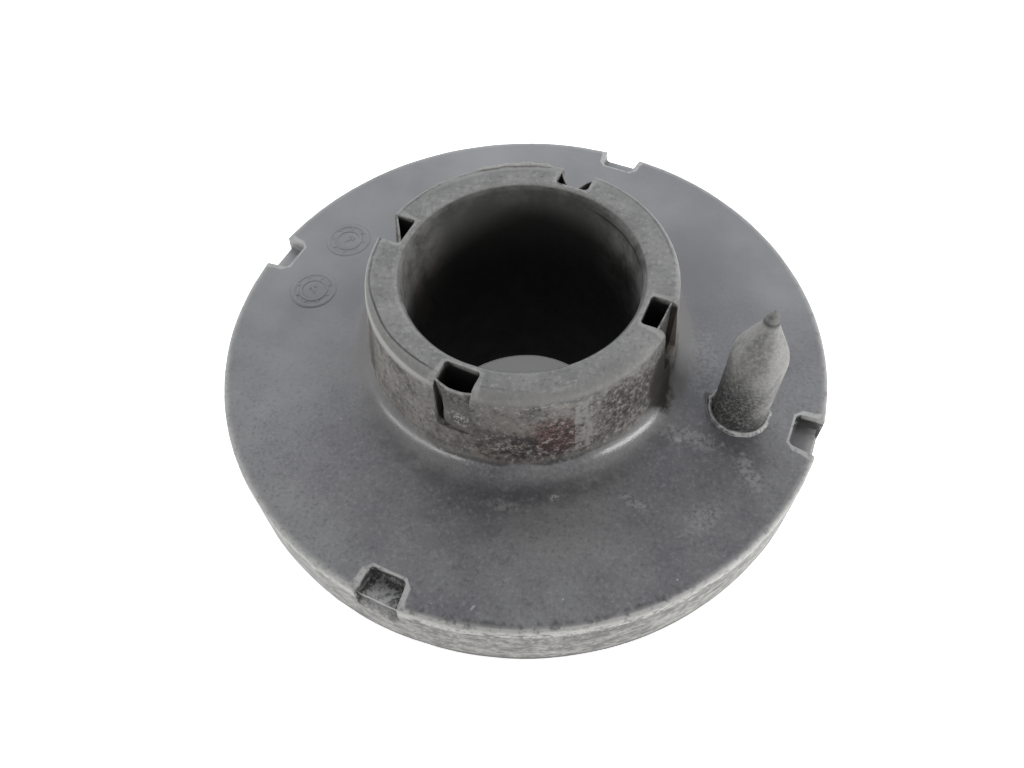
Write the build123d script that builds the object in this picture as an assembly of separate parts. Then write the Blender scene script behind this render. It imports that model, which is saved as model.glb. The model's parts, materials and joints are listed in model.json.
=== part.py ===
from build123d import *
import os
from math import radians, tan

# Rear coil spring pad: one moulding of black rubber, in millimetres.
# It is modelled as it lies for a look at its suspension side: the collar that
# goes down inside the coil spring stands at the bottom, with its end on z = 0,
# then comes the round pad with the spring groove in its underside, and on top
# stand the hollow boss and the pointed locating pin. +Z is the boss's axis.

# Pad
pad_diameter = 125.0
pad_thickness = 15.0
pad_draft = 0.4            # the lower edge of the rim stands this much further out
pad_top_edge = 0.8         # bevel of the upper edge
pad_bottom_edge = 0.8      # bevel of the lower edge

# Bore right through collar, pad and boss
bore_diameter = 46.2
bore_mouth_chamfer = 0.6
bore_end_chamfer = 1.0

# Boss on the suspension side
boss_diameter = 59.6       # across its top
boss_height = 20.5
boss_draft_deg = 7.0
boss_lip = 2.0             # worn bevel round its top
boss_foot_radius = 5.0

# Collar on the spring side
collar_length = 24.5       # how far it stands out of the pad's underside
collar_root_wall = 6.9     # rubber between the bore and the collar's outside, at the pad
collar_tip_wall = 4.9      # and at the collar's end
collar_lead_in = 2.0       # bevel that guides the spring over the collar
collar_root_bevel = 2.5

# Groove that the end coil of the spring lies in
wire_diameter = 13.0
wire_clearance = 0.3
coil_mean_diameter = 94.0
groove_depth = 6.0
coil_stop_deg = 26.0       # the groove stops short here, and the wire's end butts on it

# Four features a quarter turn apart, on the boss and on the rim alike
first_feature_deg = 65.0

# Pockets in the boss wall, open at the top and outwards
pocket_width = 7.0
pocket_depth = 11.5
pocket_bore_wall = 1.6     # rubber left between a pocket and the bore
pocket_corner = 0.8

# A thin skin of flash stands in each pocket, between its side walls. The skins are
# soft, and have been bent differently: each line gives how far a skin stands inside
# the top edge of the boss, at one side wall, in the middle and at the other side wall.
skin_thickness = 0.5
skin_drop = 0.5            # from the top of the boss to the top of a skin
skin_setbacks = (
    (0.5, 4.5, 0.7),
    (0.4, 3.4, 4.6),
    (1.7, 0.6, 0.9),
    (1.7, 1.5, 1.3),
)

# Shallow flutes in the boss wall, midway between the pockets
flute_deg = 7.0
flute_depth = 0.6
flute_foot = 4.5           # height of a flute's lower end above the pad
flute_head = 1.5           # from its upper end to the top of the boss

# Notches in the rim
notch_reach = 5.5          # from the rim inwards
notch_inner_width = 7.2
notch_outer_width = 8.7
notch_depth = 2.6
notch_corner = 1.2
lip_setback = 0.9          # from the rim to the edge of the notch's floor
lip_face = 2.0             # height of the face below that edge
lip_runout = 2.0           # height over which it slopes back to the rim

# Locating pin
pin_diameter = 10.3
pin_circle_diameter = 93.4
pin_feature = 3            # it stands in line with this pocket and notch
pin_shank = 18.5           # height at which the straight sides meet the point
pin_shoulder_radius = 6.0  # rounding where they meet
pin_height = 30.3
nib_height = 3.0           # small nib on top of the point
nib_diameter = 2.9
nib_tip_diameter = 0.7
pin_root = 1.0             # how deep it reaches into the pad, so that the two are one

# Heights and radii that follow from the sizes above
underside = collar_length
pad_top = underside + pad_thickness
boss_top = pad_top + boss_height
pad_radius = pad_diameter / 2
bore_radius = bore_diameter / 2
boss_top_radius = boss_diameter / 2
boss_foot_wall = boss_top_radius + boss_height * tan(radians(boss_draft_deg))
feature_step = 360 / len(skin_setbacks)
pin_azimuth = first_feature_deg + pin_feature * feature_step
overcut = 3.0              # how far a cutting shape runs past the rubber


def corner_at(section, point):
    """The corner of a section that lies at this point."""
    return section.vertices().sort_by_distance(Vector(point[0], 0, point[1]))[0]


def boss_wall(height):
    """Radius of the tapered boss wall at a height above the pad."""
    return boss_foot_wall - height * tan(radians(boss_draft_deg))


def moulding():
    """The pad with its boss, collar and bore, as one turned section."""
    bore_end = (bore_radius, 0)
    bore_mouth = (bore_radius, boss_top)
    boss_edge = (boss_top_radius, boss_top)
    boss_foot = (boss_foot_wall, pad_top)
    rim_top = (pad_radius, pad_top)
    rim_bottom = (pad_radius + pad_draft, underside)
    collar_root = (bore_radius + collar_root_wall, underside)
    collar_tip = (bore_radius + collar_tip_wall, 0)
    outline = Polyline(
        bore_end,
        bore_mouth,
        boss_edge,
        boss_foot,
        rim_top,
        rim_bottom,
        collar_root,
        collar_tip,
        close=True,
    )
    section = Plane.XZ * make_face(outline)
    section = fillet(corner_at(section, boss_foot), boss_foot_radius)
    bevels = (
        (bore_end, bore_end_chamfer),
        (bore_mouth, bore_mouth_chamfer),
        (boss_edge, boss_lip),
        (rim_top, pad_top_edge),
        (rim_bottom, pad_bottom_edge),
        (collar_root, collar_root_bevel),
        (collar_tip, collar_lead_in),
    )
    for corner, size in bevels:
        section = chamfer(corner_at(section, corner), size)
    return revolve(section, Axis.Z)


def spring_groove():
    """Round-bottomed groove for the end coil, which ends at a solid stop."""
    groove_radius = wire_diameter / 2 + wire_clearance
    centre = (coil_mean_diameter / 2, underside + groove_depth - groove_radius)
    section = Plane.XZ * Pos(*centre) * Circle(groove_radius)
    groove = revolve(section, Axis.Z, 360 - coil_stop_deg)
    return Rot(Z=pin_azimuth + coil_stop_deg / 2) * groove


def boss_pocket():
    """Cutting shape of one pocket in the boss wall, on the +X side."""
    inner = bore_radius + pocket_bore_wall
    outer = boss_foot_wall + overcut
    height = pocket_depth + overcut
    blank = Pos((inner + outer) / 2, 0, boss_top - pocket_depth + height / 2)
    blank = blank * Box(outer - inner, pocket_width, height)
    inner_edges = blank.edges().filter_by(Axis.Z).sort_by(Axis.X)[:2]
    return fillet(inner_edges, pocket_corner)


def pocket_skin(setbacks):
    """Skin of flash across one pocket, on the +X side, with its ends in the side walls."""
    half_width = pocket_width / 2
    first, middle, last = [boss_top_radius - setback for setback in setbacks]
    reach = half_width + skin_thickness
    line = Polyline(
        (first + (first - middle) * skin_thickness / half_width, -reach),
        (middle, 0),
        (last + (last - middle) * skin_thickness / half_width, reach),
    )
    plan = Plane.XY.offset(boss_top - pocket_depth) * trace(line, skin_thickness)
    return extrude(plan, pocket_depth - skin_drop)


def boss_flute():
    """Cutting shape of one shallow flute, which follows the taper of the wall."""
    low = flute_foot
    high = boss_height - flute_head
    band = Polyline(
        (boss_wall(low) - flute_depth, pad_top + low),
        (boss_wall(low) + overcut, pad_top + low),
        (boss_wall(high) + overcut, pad_top + high),
        (boss_wall(high) - flute_depth, pad_top + high),
        close=True,
    )
    return Rot(Z=-flute_deg / 2) * revolve(Plane.XZ * make_face(band), Axis.Z, flute_deg)


def rim_notch():
    """Cutting shape of one notch in the rim, on the +X side."""
    inner = pad_radius - notch_reach
    outer = pad_radius + overcut
    spread = (notch_outer_width - notch_inner_width) / 2 / notch_reach
    half_outer = notch_inner_width / 2 + spread * (outer - inner)
    plan = Polyline(
        (inner, -notch_inner_width / 2),
        (outer, -half_outer),
        (outer, half_outer),
        (inner, notch_inner_width / 2),
        close=True,
    )
    floor = Plane.XY.offset(pad_top - notch_depth)
    pocket = extrude(floor * make_face(plan), notch_depth + overcut)
    inner_edges = pocket.edges().filter_by(Axis.Z).sort_by(Axis.X)[:2]
    pocket = fillet(inner_edges, notch_corner)

    lip = pad_radius - lip_setback
    face_foot = pad_top - notch_depth - lip_face
    slope = lip_setback / lip_runout
    side = Polyline(
        (lip, pad_top - notch_depth / 2),
        (lip, face_foot),
        (outer, face_foot - (outer - lip) / slope),
        (outer, pad_top - notch_depth / 2),
        close=True,
    )
    cutback = extrude(Plane.XZ * make_face(side), notch_outer_width / 2, both=True)
    return pocket + cutback


def locating_pin():
    """The pin, turned about its own axis, with a tapered point and a small nib."""
    shoulder = (pin_diameter / 2, pin_shank)
    outline = Polyline(
        (0, -pin_root),
        (pin_diameter / 2, -pin_root),
        shoulder,
        (nib_diameter / 2, pin_height - nib_height),
        (nib_tip_diameter / 2, pin_height),
        (0, pin_height),
        close=True,
    )
    section = Plane.XZ * make_face(outline)
    return revolve(fillet(corner_at(section, shoulder), pin_shoulder_radius), Axis.Z)


def spring_pad():
    """The whole moulding."""
    blank = moulding()
    pad = blank - spring_groove()
    for number, setbacks in enumerate(skin_setbacks):
        turn = Rot(Z=first_feature_deg + number * feature_step)
        half_turn = Rot(Z=first_feature_deg + (number + 0.5) * feature_step)
        pad -= turn * boss_pocket()
        pad += blank & turn * pocket_skin(setbacks)
        pad -= half_turn * boss_flute()
        pad -= turn * rim_notch()
    pin_place = Rot(Z=pin_azimuth) * Pos(pin_circle_diameter / 2, 0, pad_top)
    return pad + pin_place * locating_pin()


os.makedirs("parts", exist_ok=True)
pad = spring_pad()
pad.label = "spring_pad"
export_step(pad, "parts/spring_pad.step")
print("spring_pad", round(pad.volume), "mm3", pad.bounding_box().size)
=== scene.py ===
# %% [markdown]
# # A coil spring pad of black rubber
#
# This pad stands between the coil spring of a car's rear axle and the suspension arm. It is one
# moulding: a round pad, a hollow boss and a pointed pin on the arm's side, and a collar that
# goes down inside the spring. The lesson builds its looks: first the whole form as one turned
# mesh, then the cuts in it, then the thin scraps of flash that the mould left, and at last the
# worn and dusty rubber. The measured model is loaded first, because everything is set by it.

# %% Load the measured part
import json
import math

import bmesh
import bpy
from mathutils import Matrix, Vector, noise

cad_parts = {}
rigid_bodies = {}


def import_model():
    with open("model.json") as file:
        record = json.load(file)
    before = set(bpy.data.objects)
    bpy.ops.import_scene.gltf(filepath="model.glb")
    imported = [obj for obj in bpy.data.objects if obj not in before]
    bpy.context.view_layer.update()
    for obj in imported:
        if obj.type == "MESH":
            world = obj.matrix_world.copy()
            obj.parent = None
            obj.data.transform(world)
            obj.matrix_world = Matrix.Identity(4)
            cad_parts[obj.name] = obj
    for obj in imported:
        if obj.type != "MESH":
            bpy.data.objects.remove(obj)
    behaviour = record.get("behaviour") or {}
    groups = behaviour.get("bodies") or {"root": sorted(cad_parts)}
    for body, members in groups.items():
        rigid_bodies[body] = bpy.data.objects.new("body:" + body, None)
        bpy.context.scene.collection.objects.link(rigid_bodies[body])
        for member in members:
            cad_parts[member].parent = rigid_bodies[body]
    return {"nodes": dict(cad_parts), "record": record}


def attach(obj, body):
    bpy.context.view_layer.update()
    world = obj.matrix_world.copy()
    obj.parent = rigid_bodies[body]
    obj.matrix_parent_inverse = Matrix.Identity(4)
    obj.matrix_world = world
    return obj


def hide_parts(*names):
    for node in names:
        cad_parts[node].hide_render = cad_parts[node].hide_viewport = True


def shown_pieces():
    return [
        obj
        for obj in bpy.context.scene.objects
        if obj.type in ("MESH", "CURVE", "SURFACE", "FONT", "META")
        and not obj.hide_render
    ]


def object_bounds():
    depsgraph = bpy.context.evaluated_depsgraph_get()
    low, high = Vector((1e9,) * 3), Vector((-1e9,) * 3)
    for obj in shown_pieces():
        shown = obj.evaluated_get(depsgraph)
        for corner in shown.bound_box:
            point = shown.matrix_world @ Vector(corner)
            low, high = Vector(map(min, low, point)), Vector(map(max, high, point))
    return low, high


for leftover in list(bpy.data.objects):
    bpy.data.objects.remove(leftover)
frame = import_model()
part_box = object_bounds()
print("loaded", sorted(frame["nodes"]))

# %% [markdown]
# Sizes that other parts depend on come from the measured part: the bore, the heights of the pad
# and the boss, and the place of the pin. That way this scene follows when the part is changed.

# %% Sizes that the measured part gives
mm = 0.001
mounts = {mount["name"]: mount for mount in frame["record"]["mounts"]}
bore_radius = mounts["central_bore"]["dims"]["r_mm"] * mm
pad_top = mounts["arm_face"]["pos_m"][2]
boss_top = mounts["arm_boss"]["pos_m"][2]
groove_top = mounts["spring_groove"]["pos_m"][2]
pin_place = Vector(mounts["locating_pin"]["pos_m"])
pin_radius = mounts["locating_pin"]["dims"]["r_mm"] * mm
pin_tip = part_box[1].z
rim_foot_radius = part_box[1].x
pin_azimuth = math.degrees(math.atan2(pin_place.y, pin_place.x)) % 360
print("bore radius", bore_radius, "pad top", pad_top, "pin at", round(pin_azimuth, 1))

# %% [markdown]
# The remaining sizes were read from the photograph with the part's scale. Four features repeat
# a quarter turn apart, on the boss and on the rim alike, and the pin is in line with one of
# them. So the turned form is modelled as a quarter that has its feature in the middle.

# %% Sizes of the moulding
quarter = 90.0
flute_azimuth = (pin_azimuth + quarter / 2) % quarter
feature_azimuths = [flute_azimuth + quarter / 2 + quarter * turn for turn in range(4)]
pad_radius = rim_foot_radius - 0.4 * mm
underside = groove_top - 6.0 * mm
boss_radius = 29.8 * mm
boss_draft = math.radians(7)
boss_foot_radius = boss_radius + (boss_top - pad_top) * math.tan(boss_draft)
collar_root = bore_radius + 6.9 * mm
collar_tip = bore_radius + 4.9 * mm
coil_radius = 47.0 * mm
groove_radius = 6.8 * mm
print("features at", [round(azimuth % 360, 1) for azimuth in feature_azimuths])

# %% [markdown]
# Blender's operators act on whatever is selected, so a few helpers keep that under control. One
# opens a piece with nothing selected, one closes it, and one selects its corners, edges or
# faces by a test of place.

# %% Helpers for modelling
touching = 0.01 * mm


def choose(*pieces):
    bpy.ops.object.select_all(action="DESELECT")
    for piece in pieces:
        piece.select_set(True)
    bpy.context.view_layer.objects.active = pieces[0]


def open_piece(piece):
    choose(piece)
    bpy.ops.object.mode_set(mode="EDIT")
    bpy.ops.mesh.select_mode(type="VERT")
    bpy.ops.mesh.select_all(action="DESELECT")


def close_piece():
    bpy.ops.object.mode_set(mode="OBJECT")
    return bpy.context.view_layer.objects.active


def middle(item):
    if isinstance(item, bmesh.types.BMVert):
        return item.co
    return sum((corner.co for corner in item.verts), Vector()) / len(item.verts)


def pick(kind, test):
    bpy.ops.mesh.select_mode(type=kind)
    bpy.ops.mesh.select_all(action="DESELECT")
    shape = bmesh.from_edit_mesh(bpy.context.object.data)
    items = {"VERT": shape.verts, "EDGE": shape.edges, "FACE": shape.faces}[kind]
    chosen = [item for item in items if test(item)]
    for item in chosen:
        item.select_set(True)
    shape.select_flush_mode()
    bmesh.update_edit_mesh(bpy.context.object.data)
    return len(chosen)


def pick_all():
    bpy.ops.mesh.select_all(action="SELECT")


def extrude(step):
    bpy.ops.mesh.extrude_region_move(TRANSFORM_OT_translate={"value": step})


def spin(steps, angle, copies=False):
    """Turns what is selected about the Z axis, by an angle in degrees."""
    turn = math.radians(angle)
    bpy.ops.mesh.spin(steps=steps, angle=turn, center=(0, 0, 0), axis=(0, 0, 1), dupli=copies)


def weld():
    """Merges corners that touch, and turns every face outwards."""
    pick_all()
    bpy.ops.mesh.remove_doubles(threshold=touching)
    bpy.ops.mesh.normals_make_consistent(inside=False)


def new_piece(name, add, **settings):
    bpy.ops.object.select_all(action="DESELECT")
    add(**settings)
    piece = bpy.context.object
    piece.name = name
    piece.data.name = name
    return piece


def settle(piece):
    """Puts the piece's turn, size and place into its mesh."""
    choose(piece)
    bpy.ops.object.transform_apply(location=True, rotation=True, scale=True)
    return piece


def apply_modifier(piece, kind, **settings):
    choose(piece)
    modifier = piece.modifiers.new(kind.lower(), kind)
    for setting, value in settings.items():
        setattr(modifier, setting, value)
    bpy.ops.object.modifier_apply(modifier=modifier.name)
    return piece


# %% [markdown]
# ## The turned form
#
# A turned form starts as half of its section. The section could be typed in as a finished
# curve, but drawing it corner by corner and rounding each corner afterwards is how it would be
# done on a drawing board, and a rounding can then be changed by itself. A plane is merged into
# one corner, and every further corner is extruded from the last.

# %% Draw the half section
def draw_line(name, points, close):
    """A chain of corners in the X-Z plane, each extruded from the one before."""
    piece = new_piece(name, bpy.ops.mesh.primitive_plane_add, size=mm, location=(0, 0, 0))
    open_piece(piece)
    pick_all()
    bpy.ops.mesh.merge(type="CENTER")
    at = Vector(points[0])
    bpy.ops.transform.translate(value=at)
    for point in points[1:]:
        extrude(Vector(point) - at)
        at = Vector(point)
    if close:
        pick_all()
        bpy.ops.mesh.edge_face_add()
    return close_piece()


flute_low = pad_top + 4.5 * mm
flute_high = boss_top - 2.6 * mm


def boss_wall(height):
    return boss_foot_radius - (height - pad_top) * math.tan(boss_draft)


def groove_arc(steps):
    """Corners of the groove's round section, from its outer to its inner mouth."""
    depth_below = groove_radius - (groove_top - underside)
    start = math.asin(depth_below / groove_radius)
    centre = underside - depth_below
    sweep = math.pi - 2 * start
    angles = [start + sweep * step / steps for step in range(steps + 1)]
    return [
        (coil_radius + groove_radius * math.cos(angle), 0, centre + groove_radius * math.sin(angle))
        for angle in angles
    ]


corners = [
    (bore_radius, 0, 0),
    (bore_radius, 0, boss_top),
    (boss_radius, 0, boss_top),
    (boss_wall(flute_low), 0, flute_low),
    (boss_foot_radius, 0, pad_top),
    (pad_radius, 0, pad_top),
    (rim_foot_radius, 0, underside),
    *groove_arc(12),
    (collar_root, 0, underside),
    (collar_tip, 0, 0),
]
pad = draw_line("spring_pad_rubber", corners, close=True)
print("section of", len(pad.data.vertices), "corners before rounding")

# %% [markdown]
# Every corner of the real moulding is rounded. The boss's top edge is worn to a wide rounding,
# the foot of the boss runs out into the pad with a 5 mm one, and the rim has a soft edge that
# catches the light. A bevel of corners with a few segments makes such a rounding, where its
# width is the distance that it reaches along both sides.

# %% Round the corners of the section
def round_corner(place, reach, segments):
    found = pick("VERT", lambda corner: (corner.co - Vector(place)).length < touching)
    bpy.ops.mesh.bevel(offset=reach * mm, segments=segments, affect="VERTICES")
    return found


open_piece(pad)
rounded = (
    ((bore_radius, 0, 0), 1.0, 3),
    ((bore_radius, 0, boss_top), 1.7, 5),
    ((boss_radius, 0, boss_top), 2.1, 6),
    ((boss_foot_radius, 0, pad_top), 4.4, 8),
    ((pad_radius, 0, pad_top), 0.7, 4),
    ((rim_foot_radius, 0, underside), 0.8, 3),
    ((collar_root, 0, underside), 2.5, 4),
    ((collar_tip, 0, 0), 1.8, 4),
)
for place, reach, segments in rounded:
    assert round_corner(place, reach, segments) == 1
pick_all()
bpy.ops.mesh.delete(type="ONLY_FACE")
print("section of", len(bmesh.from_edit_mesh(pad.data).verts), "corners")

# %% [markdown]
# Long straight stretches get more corners, so that the surface can be made slightly uneven
# later on. Edges are grouped by how many cuts they need, and each group is cut in one go.

# %% Cut the long stretches
def cut_edges(longest):
    """Cuts every edge into parts that are no longer than this."""
    for cuts in range(1, 40):
        if pick("EDGE", lambda edge: longest * cuts < edge.calc_length() <= longest * (cuts + 1)):
            bpy.ops.mesh.subdivide(number_cuts=cuts)


cut_edges(1.9 * mm)
print("rings", len(bmesh.from_edit_mesh(pad.data).verts))

# %% [markdown]
# The section is turned into a quarter in several spins, and not in one, because the columns
# have to lie right for what comes next. A flute covers whole columns, a cut edge of a pocket or
# notch runs down the middle of a wide one, and two columns mark the ends of the groove's stop.
# A second spin with duplicates then sets the quarter four times round the axis.

# %% Turn the section
flute_half = 3.5
stop_half = 13.0
plain = quarter / 2 - flute_half - stop_half
half_spins = ((flute_half, 3), (plain, 16), (3.0, 1), (4.8, 1), (3.2, 2), (2.0, 1))
pick_all()
for angle, steps in (*half_spins, *reversed(half_spins)):
    spin(steps, angle)
pick_all()
spin(3, 3 * quarter, copies=True)
weld()
close_piece()
print("turned form", len(pad.data.polygons), "faces")

# %% [markdown]
# ## The stop in the spring's groove
#
# The groove on the spring's side isn't a full ring: it stops short under the pin, and the end
# of the wire butts there. The groove's faces between the two marked columns are deleted, a
# bridge closes the gap level with the underside, and the two ends of the groove get a face each.

# %% Fill the groove under the pin
pin_column = (pin_azimuth - flute_azimuth) % 360


def azimuth_of(point):
    return math.degrees(math.atan2(point.y, point.x)) % 360


def radius_of(point):
    return math.hypot(point.x, point.y)


def in_stop(point, reach):
    return abs(azimuth_of(point) - pin_column) < reach


def is_groove(face):
    centre = middle(face)
    in_ring = abs(radius_of(centre) - coil_radius) < groove_radius + 0.2 * mm
    return in_ring and underside + 0.1 * mm < centre.z < groove_top + mm


def level_with_underside(edge):
    return all(abs(corner.co.z - underside) < touching for corner in edge.verts)


open_piece(pad)
removed = pick("FACE", lambda face: is_groove(face) and in_stop(middle(face), stop_half))
bpy.ops.mesh.delete(type="FACE")
bridged = pick("EDGE", lambda edge: edge.is_boundary and level_with_underside(edge))
bpy.ops.mesh.bridge_edge_loops()
for side in (-1, 1):
    end = pin_column + side * stop_half
    pick("EDGE", lambda edge: edge.is_boundary and abs(azimuth_of(middle(edge)) - end) < 1)
    bpy.ops.mesh.edge_face_add()
pick_all()
bpy.ops.mesh.normals_make_consistent(inside=False)
close_piece()


def open_edges(piece):
    shape = bmesh.new()
    shape.from_mesh(piece.data)
    count = sum(1 for edge in shape.edges if not edge.is_manifold)
    shape.free()
    return count


print("groove faces removed", removed, "edges bridged", bridged, "open edges left", open_edges(pad))

# %% [markdown]
# ## Cuts and flutes
#
# Soft rubber never comes out of a mould dead flat. A displace modifier with a cloud texture
# moves the surface by a tenth of a millimetre, which is enough to break up the reflections. It
# comes before the cuts, so that their edges are drawn into the uneven surface.

# %% Make the surface slightly uneven
unevenness = bpy.data.textures.new("unevenness", "CLOUDS")
unevenness.noise_scale = 17 * mm
unevenness.noise_depth = 2
apply_modifier(pad, "DISPLACE", texture=unevenness, strength=0.28 * mm, mid_level=0.5)
print("uneven surface", len(pad.data.vertices), "corners")

# %% [markdown]
# The boss's top edge isn't worn alike all round. At the front it is a wide rounding, and at the
# back and on the right it is still nearly sharp. So the rounding's corners are drawn towards
# the place where the sharp edge would be, by a share that depends on where they stand.

# %% Sharpen the boss's edge where it isn't worn
def outwards_at(point):
    return Vector((point.x, point.y, 0)).normalized()


worn_towards = math.radians(262)
least_worn = 0.22
sharp_edge = Vector((boss_radius, 0, boss_top))
moved = 0
for corner in pad.data.vertices:
    section_place = Vector((radius_of(corner.co), 0, corner.co.z))
    if (section_place - sharp_edge).length > 2.3 * mm:
        continue
    turn = math.radians(azimuth_of(corner.co) + flute_azimuth)
    towards_front = (1 + math.cos(turn - worn_towards)) / 2
    keep = least_worn + (1 - least_worn) * towards_front ** 1.5
    drawn = sharp_edge + (section_place - sharp_edge) * keep
    corner.co = outwards_at(corner.co) * drawn.x + Vector((0, 0, drawn.z))
    moved += 1
print("corners of the boss's edge", moved)

# %% [markdown]
# The flutes are shallow flats in the boss wall. They are whole columns of faces, so an inset
# marks their slopes and a resize about the axis sets them back.

# %% Set the flutes back
flute_depth = 0.07 * mm


def turn_in_quarter(point):
    """Degrees from the nearest flute's middle, before the pad is turned to its place."""
    return (azimuth_of(point) + quarter / 2) % quarter - quarter / 2


def is_flute(face):
    centre = middle(face)
    on_wall = boss_radius - mm < radius_of(centre) < boss_foot_radius + mm
    return on_wall and flute_low < centre.z < flute_high and abs(turn_in_quarter(centre)) < flute_half


open_piece(pad)
print("flute faces", pick("FACE", is_flute))
bpy.ops.mesh.inset(thickness=0.75 * mm)
shrink = 1 - flute_depth / boss_radius
bpy.ops.transform.resize(value=(shrink, shrink, 1), center_override=(0, 0, 0))
close_piece()

# %% [markdown]
# The pockets in the boss wall and the notches in the rim are cut with blocks. A block is shaped
# first, because every rounded edge of a block leaves a rounded hollow corner behind. Each one
# is made on the X axis, turned to the feature and copied three times round the axis.

# %% Cutting blocks
def cutting_block(name, inner, outer, half_width, low, high, edge, flare=1.0, drop=0.0):
    """A block between two radii and two heights, with its outer end widened and dropped."""
    place = ((inner + outer) / 2, 0, (low + high) / 2)
    size = (outer - inner, 2 * half_width, high - low)
    block = new_piece(name, bpy.ops.mesh.primitive_cube_add, size=1, location=place, scale=size)
    settle(block)
    open_piece(block)
    pick("VERT", lambda corner: corner.co.x > inner + mm)
    bpy.ops.transform.resize(value=(1, flare, 1), center_override=(0, 0, 0))
    pick("VERT", lambda corner: corner.co.x > inner + mm and corner.co.z < low + mm / 10)
    bpy.ops.transform.translate(value=(0, 0, -drop))
    if edge:
        inside = Vector((outer - mm / 10, 0, high - mm / 10))
        pick("EDGE", lambda side: middle(side).x < inside.x and middle(side).z < inside.z)
        bpy.ops.mesh.bevel(offset=edge, segments=4)
    return close_piece()


def cut_four(piece, block):
    """Cuts the block out of the piece at each of the four features."""
    block.rotation_euler.z = math.radians(quarter / 2)
    settle(block)
    open_piece(block)
    pick_all()
    spin(3, 3 * quarter, copies=True)
    close_piece()
    apply_modifier(piece, "BOOLEAN", object=block, operation="DIFFERENCE", solver="EXACT")
    bpy.data.objects.remove(block)


pocket_half = 3.5 * mm
pocket_inner = bore_radius + 1.6 * mm
pocket_floor = boss_top - 11.5 * mm
outside = 4 * mm
pocket_ends = (pocket_inner, boss_foot_radius + outside)
pocket_heights = (pocket_floor, boss_top + outside)
pocket = cutting_block("pocket_block", *pocket_ends, pocket_half, *pocket_heights, 0.8 * mm)
cut_four(pad, pocket)
print("after the pockets", len(pad.data.polygons), "faces,", open_edges(pad), "open edges")

# %% [markdown]
# A notch widens outwards, and its floor ends a little inside the rim, where a face drops from it
# and slopes back out to the rim. So it takes two blocks.

# %% Cut the notches
notch_depth = 5.5 * mm
notch_half = 3.6 * mm
notch_half_outside = 4.35 * mm
notch_ends = (pad_radius - notch_depth, pad_radius + outside)
notch_flare = 1 + (notch_half_outside / notch_half - 1) * (notch_ends[1] - notch_ends[0]) / notch_depth
notch_floor = pad_top - 2.6 * mm
notch_heights = (notch_floor, pad_top + outside)
notch = cutting_block("notch_block", *notch_ends, notch_half, *notch_heights, 1.0 * mm, notch_flare)
cut_four(pad, notch)

lip_width = 0.9 * mm
lip_fall = 2.0 * mm
lip_ends = (pad_radius - lip_width, pad_radius + outside)
lip_heights = (notch_floor - lip_fall, notch_floor + 1.2 * mm)
lip_drop = (lip_ends[1] - lip_ends[0]) / lip_width * lip_fall
lip = cutting_block("lip_block", *lip_ends, 4.2 * mm, *lip_heights, 0, drop=lip_drop)
cut_four(pad, lip)
print("after the notches", len(pad.data.polygons), "faces,", open_edges(pad), "open edges")

# %% [markdown]
# A boolean leaves knife edges, which no rubber has. All edges of the cuts that turn by more
# than 35 degrees get a small rounding, which is what draws the light lines round them.

# %% Round the cut edges
sharp = math.radians(35)
cut_zones = (
    (pocket_floor - mm, pocket_inner - mm, 9.5),
    (lip_heights[0] - 4 * mm, notch_ends[0] - mm, 5),
)


def near_feature(point, reach):
    return abs(abs(turn_in_quarter(point)) - quarter / 2) < reach


def is_cut_edge(edge):
    if not edge.is_manifold or edge.calc_face_angle() < sharp:
        return False
    place = middle(edge)
    for floor, inner, reach in cut_zones:
        if place.z > floor and radius_of(place) > inner and near_feature(place, reach):
            return True
    return False


open_piece(pad)
print("cut edges", pick("EDGE", is_cut_edge))
bpy.ops.mesh.bevel(offset=0.32 * mm, segments=3, clamp_overlap=True)
close_piece()
print("after rounding", len(pad.data.polygons), "faces,", open_edges(pad), "open edges")

# %% [markdown]
# Up to here a flute lay on the X axis, which kept the tests of place simple. Now the pad turns
# to its place, and its shading is set: smooth, with flat faces kept flat by weighted normals.

# %% Turn the pad to its place
def smooth(piece, degrees):
    choose(piece)
    bpy.ops.object.shade_smooth_by_angle(angle=math.radians(degrees))


pad.rotation_euler.z = math.radians(flute_azimuth)
settle(pad)
smooth(pad, 40)
apply_modifier(pad, "WEIGHTED_NORMAL", keep_sharp=True, weight=80)
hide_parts("spring_pad")
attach(pad, "root")
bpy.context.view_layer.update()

# %% [markdown]
# ## Skins of flash in the pockets
#
# Each pocket of the boss was closed by a thin skin where the mould's halves met. On this pad
# the skins have been pushed about, each in its own way, so each one gets its own line at the
# top. A line is drawn across the pocket, cut into short edges and extruded upwards, from the
# line where the skin joins the floor to the line that it has at the top. A little noise leaves
# the top edge ragged, and solidify then gives the skin a thickness.

# %% Make the four skins
def hand_over(piece, degrees):
    """Smooths a finished piece, and gives it its body."""
    smooth(piece, degrees)
    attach(piece, "root")
    return piece


skin_low = pocket_floor - 0.4 * mm
skin_top = boss_top - 0.4 * mm
skin_height = skin_top - skin_low
skin_rows = 14


def place_between(line, share):
    """The point at a share of the way along a line of corners."""
    lengths = [(after - before).length for before, after in zip(line, line[1:])]
    left = share * sum(lengths)
    for before, after, length in zip(line, line[1:], lengths):
        if left <= length:
            return before.lerp(after, left / length)
        left -= length
    return line[-1]


def raise_line(name, points, height, rows):
    """A sheet that stands on a line."""
    piece = draw_line(name, points, close=False)
    open_piece(piece)
    pick_all()
    for _ in range(rows):
        extrude(Vector((0, 0, height / rows)))
    return close_piece()


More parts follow.
